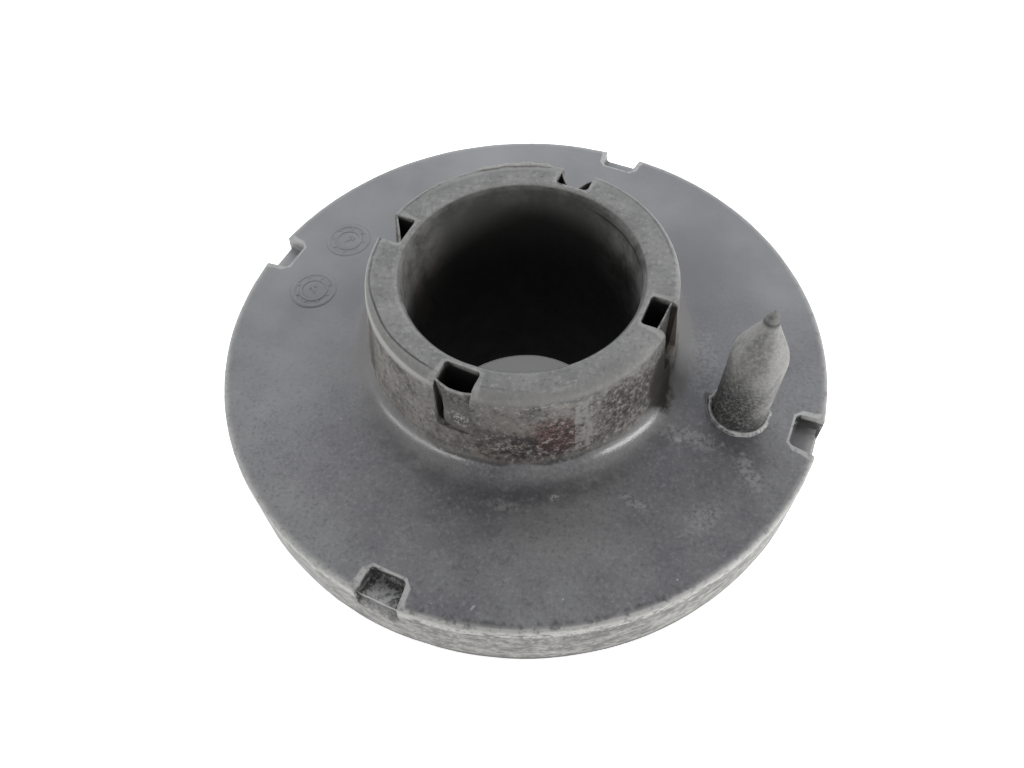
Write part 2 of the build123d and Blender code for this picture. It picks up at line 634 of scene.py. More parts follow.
def pocket_skin(name, azimuth, top_line, foot_line, ragged, columns=14, thick=0.4, lumps=0.0):
    """A skin between its line on the pocket's floor and its line at the top, on the +X side."""
    top = [Vector((out * mm, along * mm, 0)) for out, along in top_line]
    foot = [Vector((out * mm, along * mm, 0)) for out, along in foot_line]
    spots = [place_between(foot, column / columns) for column in range(columns + 1)]
    piece = raise_line(name, [(spot.x, spot.y, skin_low) for spot in spots], skin_height, skin_rows)
    for corner in piece.data.vertices:
        risen = (corner.co.z - skin_low) / skin_height
        level = Vector((corner.co.x, corner.co.y, 0))
        nearest = min(range(len(spots)), key=lambda spot: (spots[spot] - level).length)
        bent = place_between(top, nearest / columns) - spots[nearest]
        lean = risen * risen * (3 - 2 * risen)
        rough = noise.noise(corner.co / (1.3 * mm) + Vector((azimuth, 0, 0)))
        bulge = lumps * mm * min(1, max(0, (0.62 - risen) / 0.08))
        lump = noise.noise(corner.co / (0.9 * mm) + Vector((0, azimuth, 0)))
        corner.co += bent * lean + Vector((0.12 * mm * rough + bulge * (0.7 + 0.6 * lump), 0, 0))
        corner.co.z += ragged * mm * rough * risen ** 4
    apply_modifier(piece, "SOLIDIFY", thickness=thick * mm, offset=0)
    apply_modifier(piece, "BEVEL", width=0.08 * mm, segments=2, angle_limit=math.radians(50))
    apply_modifier(piece, "SUBSURF", levels=1, render_levels=1)
    piece.rotation_euler.z = math.radians(azimuth)
    settle(piece)
    return hand_over(piece, 60)


skin_reach = 3.75
wall_line = ((30.4, -skin_reach), (30.5, 0), (30.4, skin_reach))
upright_line = ((28.5, -skin_reach), (28.7, 0), (28.6, skin_reach))
leaning_line = ((28.0, -skin_reach), (28.3, 0), (28.4, skin_reach))
folded_in = (
    (28.9, -skin_reach),
    (27.4, -2.4),
    (25.5, -1.6),
    (24.6, -0.7),
    (24.7, 0.4),
    (26.7, 2.1),
    (28.9, skin_reach),
)
slant_top = ((29.3, -skin_reach), (25.0, 2.6), (24.7, skin_reach))
slant_foot = ((29.6, -skin_reach), (27.2, 0), (26.0, skin_reach))
gap_line = ((26.8, -skin_reach), (27.3, -2.7), (29.5, -2.1), (30.1, 0), (30.3, skin_reach))
eye_line = ((28.6, -skin_reach), (29.1, -2.6), (29.7, -0.6), (29.7, 1.1), (29.5, 2.5), (29.1, skin_reach))
skins = [
    pocket_skin("skin_far", feature_azimuths[0], folded_in, wall_line, 0.25, columns=20),
    pocket_skin("skin_upper_left", feature_azimuths[1], slant_top, slant_foot, 0.2),
    pocket_skin("skin_front_left", feature_azimuths[2], eye_line, gap_line, 0.12, columns=22, lumps=0.35),
    pocket_skin("skin_right", feature_azimuths[3], leaning_line, upright_line, 0.6, columns=20, thick=0.3),
]
print("skins", [(skin.name, len(skin.data.polygons)) for skin in skins])

# %% [markdown]
# ## Flash along the boss's edge
#
# On the far side a thin lip of flash stands up from the boss's outer edge. It is a ribbon along
# an arc, with a ragged top. It could be part of the turned form, but only this stretch has it.

# %% Make the lip of flash
lip_step = 0.7


def edge_lip(name, start, end, radius, low, height, lean):
    """A ragged ribbon that stands on the boss's outer edge, from one azimuth to another."""
    steps = int((end - start) / lip_step)
    arc = [math.radians(start + (end - start) * step / steps) for step in range(steps + 1)]
    points = [(radius * math.cos(turn), radius * math.sin(turn), low) for turn in arc]
    piece = raise_line(name, points, height, 3)
    for corner in piece.data.vertices:
        risen = (corner.co.z - low) / height
        azimuth = azimuth_of(corner.co)
        share = (azimuth - start) / (end - start)
        fade = min(1, 6 * min(share, 1 - share) + 0.15)
        torn = 0.80 + 0.28 * noise.noise(Vector((azimuth / 3.0, 3.1, 0)))
        torn += 0.16 * noise.noise(Vector((azimuth / 0.9, 9.7, 0)))
        wander = 0.25 * mm * noise.noise(Vector((azimuth / 4.0, risen, 5.5)))
        corner.co += outwards_at(corner.co) * (lean * risen + wander)
        corner.co.z = low + height * risen * fade * torn
    apply_modifier(piece, "SOLIDIFY", thickness=0.35 * mm, offset=0)
    apply_modifier(piece, "SUBSURF", levels=1, render_levels=1)
    return hand_over(piece, 60)


far_lip = edge_lip("flash_far_edge", 73, 112, 28.9 * mm, boss_top - 0.9 * mm, 1.9 * mm, 0.5 * mm)
print("lip of flash", len(far_lip.data.polygons), "faces")

# %% [markdown]
# ## The locating pin
#
# The pin is a turned form too: a slightly tapered shank, a rounded shoulder, a long point and a
# small nib that broke off its runner. It leans a little, the more the higher up, as soft pins
# do. Its foot stands in a ragged collar, where rubber crept into the gap of the mould's insert
# and tore when the pad was pulled out.

# %% Turn the pin
pin_foot = pad_top - 1.0 * mm
shank_top = pad_top + 19.2 * mm
nib_foot = pin_tip - 3.0 * mm
pin_corners = [
    (0, 0, pin_foot),
    (pin_radius, 0, pin_foot),
    (pin_radius - 0.05 * mm, 0, shank_top),
    (1.40 * mm, 0, nib_foot),
    (1.15 * mm, 0, pin_tip - 1.2 * mm),
    (0.4 * mm, 0, pin_tip),
    (0, 0, pin_tip),
]
pin = draw_line("locating_pin_rubber", pin_corners, close=True)
open_piece(pin)
round_corner(pin_corners[2], 1.4, 5)
round_corner(pin_corners[3], 0.8, 3)
pick_all()
bpy.ops.mesh.delete(type="ONLY_FACE")
pick("EDGE", lambda edge: all(radius_of(corner.co) < touching for corner in edge.verts))
bpy.ops.mesh.delete(type="EDGE")
cut_edges(0.9 * mm)
pick_all()
spin(56, 360)
weld()
close_piece()
pin_waves = bpy.data.textures.new("pin_waves", "CLOUDS")
pin_waves.noise_scale = 9 * mm
apply_modifier(pin, "DISPLACE", texture=pin_waves, strength=0.14 * mm, mid_level=0.5)
for corner in pin.data.vertices:
    height = (corner.co.z - pad_top) / mm
    corner.co.x -= (0.3 + 0.0008 * height * height) * mm
pin.location = (pin_place.x, pin_place.y, 0)
settle(pin)
hand_over(pin, 40)
print("pin", len(pin.data.polygons), "faces,", open_edges(pin), "open edges")

# %% [markdown]
# The collar at the pin's foot is a small ring with a section of six corners. Noise that depends
# on the place round the pin pulls its crest up and down and in and out.

# %% Tear the collar
collar_section = [(4.9, -0.5), (5.0, 0.1), (5.35, 0.55), (5.7, 0.6), (6.05, 0.15), (6.6, -0.5)]
collar_corners = [(out * mm, 0, pad_top + up * mm) for out, up in collar_section]
collar = draw_line("pin_collar_flash", collar_corners, close=True)
open_piece(collar)
pick_all()
bpy.ops.mesh.delete(type="ONLY_FACE")
pick_all()
spin(96, 360)
weld()
close_piece()
for corner in collar.data.vertices:
    outwards = outwards_at(corner.co)
    coarse = noise.noise(outwards * 3.1 + Vector((4.0, 1.0, 0)))
    fine = noise.noise(outwards * 8.0 + Vector((0, 7.0, corner.co.z / mm)))
    left_side = max(0, -outwards.x)
    torn_lip = max(0, 1 - 4 * abs(azimuth_of(corner.co) - 172) / 90)
    crest = max(0, (corner.co.z - pad_top) / (0.6 * mm))
    corner.co.z += crest * (0.5 * coarse + 0.35 * fine + 0.3 * left_side + 1.1 * torn_lip) * mm
    corner.co += outwards * (0.35 * coarse + 0.22 * fine * crest + 0.35 * left_side * crest) * mm
collar.location = (pin_place.x - 0.3 * mm, pin_place.y + 0.15 * mm, 0)
settle(collar)
apply_modifier(collar, "SUBSURF", levels=1, render_levels=1)
hand_over(collar, 60)
print("collar", len(collar.data.polygons), "faces")

# %% [markdown]
# ## Dials
#
# Two round inserts of the mould left dials on the pad: two rings, a ring of marks between them
# and an arrow in the middle. They are worn so low that they hardly stand proud. So every part
# is a flattened round form that is sunk into the pad, and only its cap shows, with soft sides.

# %% Model a dial
dial_height = 0.20 * mm
dial_sunk = 0.12 * mm


def ring(name, radius, width):
    segments = {"major_segments": 64, "minor_segments": 10}
    sizes = {"major_radius": radius, "minor_radius": width / 2}
    piece = new_piece(name, bpy.ops.mesh.primitive_torus_add, **segments, **sizes)
    piece.scale.z = dial_height / (width / 2)
    return settle(piece)


def mark(name, distance, turn, length, width):
    piece = new_piece(name, bpy.ops.mesh.primitive_uv_sphere_add, segments=20, ring_count=10, radius=0.5)
    piece.scale = (length, width, 2 * dial_height)
    piece.rotation_euler.z = turn
    piece.location = (distance * math.cos(turn), distance * math.sin(turn), 0)
    return settle(piece)


def join(pieces, name):
    choose(*pieces)
    bpy.ops.object.join()
    joined = bpy.context.object
    joined.name = name
    joined.data.name = name
    return joined


def dial(name, place, turn):
    parts = [ring("outer", 4.6 * mm, 1.5 * mm), ring("inner", 2.9 * mm, 1.1 * mm)]
    for hour in range(8):
        parts.append(mark("tick", 3.75 * mm, math.radians(45 * hour), 1.3 * mm, 0.9 * mm))
    parts.append(mark("shaft", 0.1 * mm, 0.0, 3.2 * mm, 0.9 * mm))
    for side in (-1, 1):
        head = mark("head", 0, math.radians(180 + 35 * side), 1.7 * mm, 0.8 * mm)
        head.location = (1.0 * mm, -0.45 * side * mm, 0)
        parts.append(settle(head))
    piece = join(parts, name)
    piece.rotation_euler.z = math.radians(turn)
    piece.location = (place[0] * mm, place[1] * mm, pad_top - dial_sunk)
    settle(piece)
    return hand_over(piece, 50)


dials = [dial("date_dial_near", (-46.4, 13.9), 110), dial("date_dial_far", (-40.3, 29.0), 35)]
print("dials", [len(piece.data.polygons) for piece in dials])

# %% [markdown]
# ## Black rubber
#
# Rubbed edges are paler than the faces beside them, by wear and by a painted highlight, and dirt
# and painted shade darken hollow ones. Both follow the shape, so every corner of a mesh gets two
# numbers: how sharply it stands out, and how sharply it turns in. The material reads them by name.

# %% Measure worn edges and hollow corners
full_mark = 2.2


def mark_edges(piece):
    shape = bmesh.new()
    shape.from_mesh(piece.data)
    worn, hollow = [], []
    for corner in shape.verts:
        edges = [edge for edge in corner.link_edges if edge.is_manifold]
        width = max(min((edge.calc_length() for edge in edges), default=mm), 0.1 * mm)
        sharpness = sum(edge.calc_face_angle_signed(0) for edge in edges) / 2 * mm / width / full_mark
        worn.append(min(1, max(0, sharpness)))
        hollow.append(min(1, max(0, -sharpness)))
    shape.free()
    for name, values in (("worn", worn), ("hollow", hollow)):
        piece.data.attributes.new(name, "FLOAT", "POINT").data.foreach_set("value", values)
    return sum(value > 0.5 for value in worn)


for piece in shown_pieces():
    if piece not in dials:
        print(piece.name, "has", mark_edges(piece), "worn corners")

# %% [markdown]
# The rubber is one material, built in layers in the order in which they came about: the rubber,
# dust, rubbed edges, grime, rust. Several layers also carry painted light and shade. Where a
# layer lies is worked out from the place on the object in millimetres, so it stays put from
# every side. Two small classes keep the node work readable.

# %% Helpers for the material
class Nodes:
    """A material made of nodes."""

    def __init__(self, name):
        self.material = bpy.data.materials.new(name)
        self.material.use_nodes = True
        self.tree = self.material.node_tree
        self.shader = self.tree.nodes["Principled BSDF"]

    def feed(self, socket, value):
        if isinstance(value, bpy.types.NodeSocket):
            self.tree.links.new(value, socket)
        else:
            socket.default_value = value

    def node(self, kind, inputs, **settings):
        """A node of this kind, with its settings made and then its inputs fed."""
        node = self.tree.nodes.new("ShaderNode" + kind)
        for setting, value in settings.items():
            setattr(node, setting, value)
        for name, value in inputs.items():
            self.feed(node.inputs[name], value)
        return node

    def math(self, operation, *values):
        return self.node("Math", dict(enumerate(values)), operation=operation).outputs[0]

    def length(self, vector):
        return self.node("VectorMath", {0: vector}, operation="LENGTH").outputs["Value"]


class Layers(Nodes):
    """A material that is built up from layers of colour, with places in millimetres."""

    def __init__(self, name):
        super().__init__(name)
        self.ragged_edges = {}
        place = self.node("TexCoord", {}).outputs["Object"]
        self.place = self.mapped(place, (1 / mm, 1 / mm, 1 / mm))
        self.x, self.y, self.z = self.node("SeparateXYZ", {0: self.place}).outputs
        self.over_pad = self.math("SUBTRACT", self.z, pad_top / mm)
        self.over_boss = self.math("SUBTRACT", self.z, boss_top / mm)
        self.radius = self.distance(self.x, self.y)
        self.aside = self.math("ABSOLUTE", self.x)
        self.azimuth = self.scaled(self.math("ARCTAN2", self.y, self.x), 180 / math.pi)

    def scaled(self, value, factor, plus=0.0):
        return self.math("MULTIPLY_ADD", value, factor, plus)

    def distance(self, across, along):
        return self.math("SQRT", self.scaled(along, along, self.scaled(across, across)))

    def degrees_from(self, azimuth):
        """Degrees from the nearest of four azimuths a quarter turn apart."""
        turn = self.math("SUBTRACT", self.azimuth, azimuth)
        return self.math("WRAP", turn, quarter / 2, -quarter / 2)

    def mapped(self, vector, scale=(1, 1, 1), shift=(0, 0, 0), turn=0.0, kind="POINT"):
        turned = (0, 0, math.radians(turn))
        inputs = {"Vector": vector, "Scale": scale, "Location": shift, "Rotation": turned}
        return self.node("Mapping", inputs, vector_type=kind).outputs[0]

    def joined(self, x, y, z):
        return self.node("CombineXYZ", {0: x, 1: y, 2: z}).outputs[0]

    def noise(self, size, detail=3.0, rough=0.55, stretch=(1, 1, 1), shift=(0, 0, 0), vector=None):
        """Cloudy noise from 0 to 1, with clouds of this size in millimetres."""
        vector = self.mapped(vector or self.place, stretch, shift)
        inputs = {"Vector": vector, "Scale": 1 / size, "Detail": detail, "Roughness": rough}
        return self.node("TexNoise", inputs).outputs[0]

    def rings(self, size, ratio, detail, rough, shift):
        """Streaks that run round the axis, on level faces and on walls alike."""
        across = self.scaled(self.math("ADD", self.radius, self.z), ratio)
        return self.noise(size, detail, rough, shift=shift, vector=self.joined(self.x, self.y, across))

    def specks(self, size, share, reach):
        """Single specks in a share of cells of this size."""
        cells = self.node("TexVoronoi", {"Vector": self.place, "Scale": 1 / size})
        chance, width = self.node("SeparateColor", {0: cells.outputs["Color"]}).outputs[:2]
        dot = self.math("LESS_THAN", cells.outputs["Distance"], self.scaled(width, reach / size))
        return self.both(dot, self.math("LESS_THAN", chance, share))

    def attribute(self, name):
        return self.node("Attribute", {}, attribute_name=name).outputs["Fac"]

    def fade(self, value, start, full):
        """0 where the value is at start, 1 where it is at full, and smooth between."""
        limits = {"From Min": min(start, full), "From Max": max(start, full)}
        shares = {"To Min": float(start > full), "To Max": float(start < full)}
        inputs = {"Value": value, **limits, **shares}
        return self.node("MapRange", inputs, interpolation_type="SMOOTHSTEP").outputs["Result"]

    def where(self, **fades):
        """Fades by place, all in one: x=(20, 6) is 0 where x is 20 and 1 where it is 6."""
        return self.both(*(self.fade(getattr(self, name), *ends) for name, ends in fades.items()))

    def band(self, value, low, high, soft):
        """1 between low and high, fading out over soft on both sides."""
        return self.both(self.fade(value, low - soft, low), self.fade(value, high + soft, high))

    def both(self, *shares):
        product = shares[0]
        for share in shares[1:]:
            product = self.math("MULTIPLY", product, share)
        return product

    def either(self, first, second):
        return self.math("MAXIMUM", first, second)

    def patch(self, place, reach, turn=0.0, ragged=0.6, grain=3.0, soft=0.35):
        """1 in an uneven patch round a place, which is given with its height over the pad."""
        centre = (place[0], place[1], place[2] + pad_top / mm)
        away = self.length(self.mapped(self.place, reach, centre, turn, kind="TEXTURE"))
        if grain not in self.ragged_edges:
            cloud = self.noise(grain, detail=3, rough=0.7)
            self.ragged_edges[grain] = self.math("SUBTRACT", cloud, 0.5)
        edge = self.scaled(self.ragged_edges[grain], 2 * ragged, away)
        return self.fade(edge, 1 + soft, 1 - soft)

    def blend(self, below, above, *shares):
        """A colour laid over another one, by the product of the shares."""
        pair = [(*colour, 1) if isinstance(colour, tuple) else colour for colour in (below, above)]
        inputs = {0: self.both(*shares), 6: pair[0], 7: pair[1]}
        return self.node("Mix", inputs, data_type="RGBA").outputs[2]

    def lay(self, colour, *shares):
        """Lays a colour over the rubber as it is so far."""
        self.colour = self.blend(self.colour, colour, *shares)

    def roughen(self, share, amount):
        self.roughness = self.scaled(share, amount, self.roughness)


# %% [markdown]
# The pad's face comes first: dark rubber with a bluish cast, paler and more neutral where dust
# was rubbed in, with a fine grain and single pale specks. That paler, more neutral colour over
# the far side, the left and the right is dust and also a painted sheen. Scuffs are rough-edged
# patches.

# %% Rubber of the pad
scuffs = (
    ((41.3, -33.0, 0), (3.6, 1.7, 2), -78, 0.55),
    ((31.5, -25.5, 0), (6.2, 1.9, 2), -20, 0.40),
    ((27.3, -25.3, 0), (3.4, 0.35, 2), -22, 0.60),
    ((37.0, -8.5, 0), (2.8, 8.0, 2), -8, 0.22),
    ((5.2, -38.0, 0), (0.9, 0.6, 2), 10, 0.80),
    ((20.0, -39.3, 0), (3.0, 0.8, 2), -35, 0.40),
    ((31.5, -42.5, 0), (3.4, 2.2, 2), 40, 0.30),
    ((-4.2, -39.3, 0), (3.4, 1.2, 2), -12, 0.30),
    ((-9.3, -57.9, 0), (0.7, 0.22, 2), 50, 0.90),
)
dark_smears = (
    ((-8.0, -38.2, 0), (11.0, 3.2, 3), 8, 0.45),
    ((39.2, -27.2, 0), (6.5, 3.0, 3), -30, 0.55),
    ((6.0, -37.0, 0), (14.0, 2.0, 3), 4, 0.35),
)


def pad_face(mix):
    clouds = mix.noise(30, detail=3, rough=0.55)
    blots = mix.noise(6, detail=4, rough=0.6, shift=(9, 2, 4))
    fine = mix.noise(0.5, detail=1, rough=0.75)
    grain = mix.noise(0.75, detail=1, rough=0.8, shift=(7, 1, 0))
    tone = mix.scaled(blots, 0.25, mix.scaled(clouds, 0.75))
    mix.colour = mix.blend((0.121, 0.119, 0.130), (0.190, 0.190, 0.191), mix.fade(tone, 0.36, 0.66))
    # Dust and a painted sheen: the far side, the left and the right are painted paler.
    dust_and_sheen = mix.where(y=(-38, 8), radius=(36, 58))
    left = mix.both(mix.where(x=(-14, -42), y=(-56, -30)), 0.75)
    right = mix.both(mix.where(x=(34, 50), y=(-30, -10)), 0.75)
    dust_and_sheen = mix.either(dust_and_sheen, mix.either(left, right))
    mix.lay((0.272, 0.271, 0.278), dust_and_sheen, mix.fade(tone, 0.1, 0.8), 0.74)
    for place, reach, turn, strength in dark_smears:
        smear = mix.patch(place, reach, turn, ragged=1.0, grain=5, soft=0.8)
        mix.lay((0.068, 0.066, 0.072), smear, strength)
    rougher = mix.fade(mix.y, 25, -30)
    mix.lay((0.27, 0.27, 0.272), mix.fade(grain, 0.50, 0.78), rougher, 0.40)
    mix.lay((0.050, 0.049, 0.055), mix.fade(grain, 0.48, 0.22), rougher, 0.40)
    dust = mix.fade(blots, 0.3, 0.7)
    for place, reach, turn, strength in scuffs:
        scuff = mix.patch(place, reach, turn, ragged=1.3, grain=1.9, soft=0.3)
        mix.lay((0.33, 0.33, 0.33), scuff, mix.fade(grain, 0.30, 0.60), strength)
    mix.lay((0.42, 0.42, 0.41), mix.specks(2.8, 0.22, 0.26), rougher, 0.65)
    mix.roughness = mix.scaled(fine, 0.14, mix.scaled(dust, 0.08, 0.38))
    return fine


# %% [markdown]
# The wall of the boss is gritty: pale grains on a brownish ground, with rust from the arm at the
# front and dust on the left. The flutes are painted as stripes of another tone, painted light at
# the front and painted shade on the left.

# %% Rubber of the boss's wall
def boss_side(mix, grit):
    uneven = mix.noise(5, detail=3, rough=0.65, shift=(1, 8, 3))
    wall = mix.where(radius=(34.5, 33.5), over_pad=(2.0, 4.2))
    wall = mix.both(wall, mix.where(over_boss=(-0.6, -2.6), radius=(27, 28)))
    ground = mix.blend((0.078, 0.073, 0.069), (0.188, 0.180, 0.170), mix.fade(uneven, 0.36, 0.62))
    smears = mix.rings(9, 1.4, detail=4, rough=0.7, shift=(0, 0, 5))
    ground = mix.blend(ground, (0.255, 0.245, 0.226), mix.fade(smears, 0.50, 0.70), 0.50)
    left = mix.fade(mix.x, -8, -26)
    ground = mix.blend(ground, (0.270, 0.255, 0.235), left, mix.fade(smears, 0.30, 0.62), 0.7)
    ground = mix.blend(ground, (0.360, 0.355, 0.335), mix.fade(grit, 0.54, 0.68), 0.60)
    ground = mix.blend(ground, (0.022, 0.021, 0.020), mix.fade(grit, 0.46, 0.32), 0.72)
    mix.lay(ground, wall, 0.93)

    spread = mix.patch((-2.0, -31.0, 7.5), (13.0, 5.0, 8.0), ragged=0.8, grain=4, soft=0.6)
    mix.lay((0.110, 0.085, 0.070), spread, wall, mix.fade(uneven, 0.3, 0.6), 0.45)
    dull = mix.patch((19.0, -25.0, 12.0), (6.5, 5.0, 6.5), 40, ragged=0.9, grain=3, soft=0.6)
    sooty = mix.patch((1.5, -31.5, 6.8), (9.5, 5.0, 4.4), ragged=0.9, grain=3, soft=0.6)
    sooty = mix.either(sooty, mix.both(dull, 0.8))
    mix.lay((0.044, 0.038, 0.035), sooty, wall, 0.62)
    rust = mix.patch((5.6, -31.0, 9.6), (4.0, 4.0, 4.8), ragged=0.8, grain=2.0, soft=0.5)
    mix.lay((0.086, 0.036, 0.032), rust, wall, mix.fade(uneven, 0.25, 0.5), 0.7)
    grains = mix.both(mix.either(sooty, rust), wall)
    mix.lay((0.011, 0.010, 0.010), grains, mix.fade(grit, 0.52, 0.42), 0.85)
    mix.lay((0.290, 0.265, 0.245), grains, mix.fade(grit, 0.57, 0.64), 0.65)
    beige = mix.patch((29.2, -11.0, 14.0), (2.5, 4.5, 6.5), ragged=0.3, soft=0.4)
    mix.lay((0.370, 0.320, 0.285), beige, wall, 0.8)
    stain = mix.patch((26.3, -17.3, 8.0), (4.6, 5.0, 8.6), 57, ragged=0.4, soft=0.2)
    mix.lay((0.014, 0.010, 0.009), stain, mix.fade(mix.radius, 27, 28), 0.95)

    # Painted light and shade: the flute's stripe is paler at the front and darker on the left.
    turn = mix.degrees_from(flute_azimuth)
    tall = mix.band(mix.z, flute_low / mm + 0.3, flute_high / mm - 0.3, 0.5)
    in_flute = mix.both(mix.band(turn, -2.9, 2.9, 0.5), wall, tall)
    mix.lay((0.275, 0.272, 0.258), in_flute, mix.fade(mix.x, -10, 0), mix.fade(grit, 0.30, 0.55), 0.55)
    mix.lay((0.060, 0.057, 0.054), in_flute, mix.fade(mix.x, -10, -20), 0.75)
    return wall


# %% [markdown]
# Where the boss runs out into the pad, the rubber is smooth and shines. At the sides that hollow
# is painted paler, a painted highlight. Wavy dark lines lie in that hollow at the front, where
# dirt was left as the arm moved.

# %% Rubber of the boss's foot
def boss_foot(mix, grit):
    low = mix.band(mix.over_pad, -1, 2.9, 1.2)
    hollow = mix.both(mix.fade(mix.radius, 30.7, 31.5), mix.fade(mix.radius, 37.4, 33.8), low)
    # Painted highlight: the hollow at the foot is painted paler away from the front.
    mix.lay((0.235, 0.228, 0.222), hollow, mix.fade(mix.aside, 8, 20), 0.55)
    uneven = mix.noise(4, detail=2, rough=0.7, shift=(3, 3, 0))
    dark_ring = mix.both(mix.band(mix.radius, 35.8, 38.0, 1.4), mix.fade(mix.y, -14, -30))
    mix.lay((0.066, 0.064, 0.066), dark_ring, mix.fade(uneven, 0.35, 0.65), 0.5)
    wavy = mix.scaled(mix.noise(11, detail=2, rough=0.6, shift=(3, 0, 0)), 3.4, mix.over_pad)
    low_line = mix.band(wavy, 4.6, 5.0, 0.6)
    high_line = mix.band(wavy, 6.2, 6.4, 0.5)
    broken = mix.both(mix.fade(grit, 0.36, 0.46), mix.fade(uneven, 0.28, 0.46))
    in_front = mix.where(y=(-24, -30), radius=(35.5, 34.5))
    mix.lay((0.022, 0.021, 0.021), mix.either(low_line, high_line), broken, in_front, 0.88)
    mix.roughen(mix.both(hollow, mix.fade(mix.y, -8, -18)), -0.23)


# %% [markdown]
# The top of the boss was ground by the arm to a matt, dusty grey. A dark line of painted shade
# follows the crease near its outer edge, and lies further in at the front, where the edge is worn
# round. A painted highlight runs along the outer lip and along the lip of flash, with a line of
# painted shade beside the lip on the far right.

# %% Rubber of the boss's top
def boss_crown(mix, wall):
    grain = mix.noise(0.95, detail=2, rough=0.85, shift=(2, 7, 1))
    uneven = mix.noise(6, detail=2, rough=0.6, shift=(1, 8, 3))
    top = mix.where(over_boss=(-1.9, -0.7), radius=(34, 33))
    dusty = mix.blend((0.172, 0.171, 0.166), (0.246, 0.244, 0.236), mix.fade(uneven, 0.25, 0.7))
    dusty = mix.blend(dusty, (0.42, 0.415, 0.40), mix.fade(grain, 0.52, 0.74), 0.46)
    dusty = mix.blend(dusty, (0.050, 0.049, 0.048), mix.fade(grain, 0.48, 0.26), 0.48)
    mix.lay(dusty, top, 0.94)

    wander = mix.scaled(mix.noise(9, detail=2, shift=(4, 4, 0)), 0.9, mix.radius)
    crease_radius = mix.scaled(mix.fade(mix.y, 4, -29), -1.3, 29.35)
    from_crease = mix.math("SUBTRACT", wander, crease_radius)
    mix.lay((0.120, 0.119, 0.116), top, mix.where(radius=(26.0, 29.4), y=(4, 20)), 0.6)
    mix.lay((0.190, 0.187, 0.178), top, mix.fade(from_crease, 0.1, 0.5), mix.fade(mix.x, 30, 12), 0.5)
    # Painted shade: a dark line along the crease between the flat top and its rounding.
    crease = mix.both(top, mix.band(from_crease, -0.10, 0.10, 0.20), mix.fade(mix.x, 20, 6))
    mix.lay((0.028, 0.028, 0.028), crease, mix.fade(uneven, 0.25, 0.55), mix.fade(mix.x, 0, -10), 0.8)
    mix.lay((0.05, 0.05, 0.05), crease, mix.fade(uneven, 0.40, 0.62), mix.fade(grain, 0.3, 0.5), 0.45)

    # Painted highlight along the outer lip and on the lip of flash, and painted shade as a dark line
    # beside the lip on the far right.
    lip_left = mix.fade(mix.x, -12, -20)
    lip_far = mix.where(x=(8, 13), y=(-4, 6))
    on_lip = mix.both(mix.either(lip_left, lip_far), mix.fade(mix.over_boss, -2.6, -1.2))
    mix.lay((0.035, 0.035, 0.035), on_lip, lip_far, mix.band(wander, 29.3, 29.5, 0.25), 0.55)
    lip_highlight = mix.both(on_lip, mix.fade(mix.radius, 29.45, 29.7), mix.fade(mix.radius, 31.5, 31), 0.75)
    risen_lip_highlight = mix.both(mix.where(over_boss=(-0.10, 0.25), y=(20, 26)), 0.7)
    lip_highlight = mix.either(lip_highlight, mix.both(risen_lip_highlight, mix.fade(mix.radius, 27.5, 28.2)))
    mix.lay((0.47, 0.465, 0.45), lip_highlight)

    scratches = mix.rings(22, 16.0, detail=3, rough=0.6, shift=(0, 4, 0))
    rubbed = mix.both(mix.fade(mix.y, -12, -26), mix.band(mix.over_boss, -3.4, -0.3, 0.5))
    rubbed = mix.both(rubbed, mix.fade(mix.radius, 27.5, 28.2), mix.fade(mix.radius, 33, 32))
    mix.lay((0.38, 0.38, 0.36), rubbed, mix.fade(scratches, 0.56, 0.60), mix.fade(grain, 0.44, 0.54), 0.5)
    mix.roughen(mix.either(top, wall), 0.22)


# %% [markdown]
# Inside the bore the rubber is painted nearly black, darker the deeper it lies, as painted shade.
# Its side walls are painted paler, most towards the top, as painted light. Dust reaches a few
# millimetres in, and the stop that was pushed through has left brownish drag marks down the left
# wall.

# %% Rubber of the bore
def bore(mix):
    inside = mix.fade(mix.radius, bore_radius / mm + 0.75, bore_radius / mm + 0.35)
    # Painted shade: the bore darkens with depth.
    painted_bore_shade = mix.blend((0.048, 0.047, 0.045), (0.008, 0.008, 0.008), mix.fade(mix.over_boss, -6, -24))
    mix.lay(painted_bore_shade, inside)
    cloud = mix.noise(5, detail=3, rough=0.75, shift=(6, 6, 0))
    dusty = mix.both(inside, mix.fade(mix.over_boss, -10, -1))
    mix.lay((0.095, 0.095, 0.094), dusty, mix.fade(cloud, 0.34, 0.66), 0.60)
    # Painted light: paler side walls, most towards the top.
    sides = mix.both(inside, mix.where(aside=(14, 21), over_boss=(-26, -7)))
    mix.lay((0.190, 0.187, 0.180), sides, mix.fade(cloud, 0.25, 0.70), 0.66)
    right_line = mix.both(inside, mix.fade(mix.x, 12, 18), mix.band(mix.over_boss, -2.7, -2.4, 0.25))
    mix.lay((0.010, 0.010, 0.010), right_line, 0.85)
    drag = mix.noise(3.2, detail=2, rough=0.7, stretch=(1, 1, 0.25))
    brown = mix.patch((-21.0, 9.5, 6.0), (3.5, 9.0, 11.0), -65, ragged=0.6, grain=4, soft=0.8)
    mix.lay((0.082, 0.070, 0.058), inside, brown, mix.fade(drag, 0.36, 0.70), 0.8)
    mix.roughen(inside, 0.3)
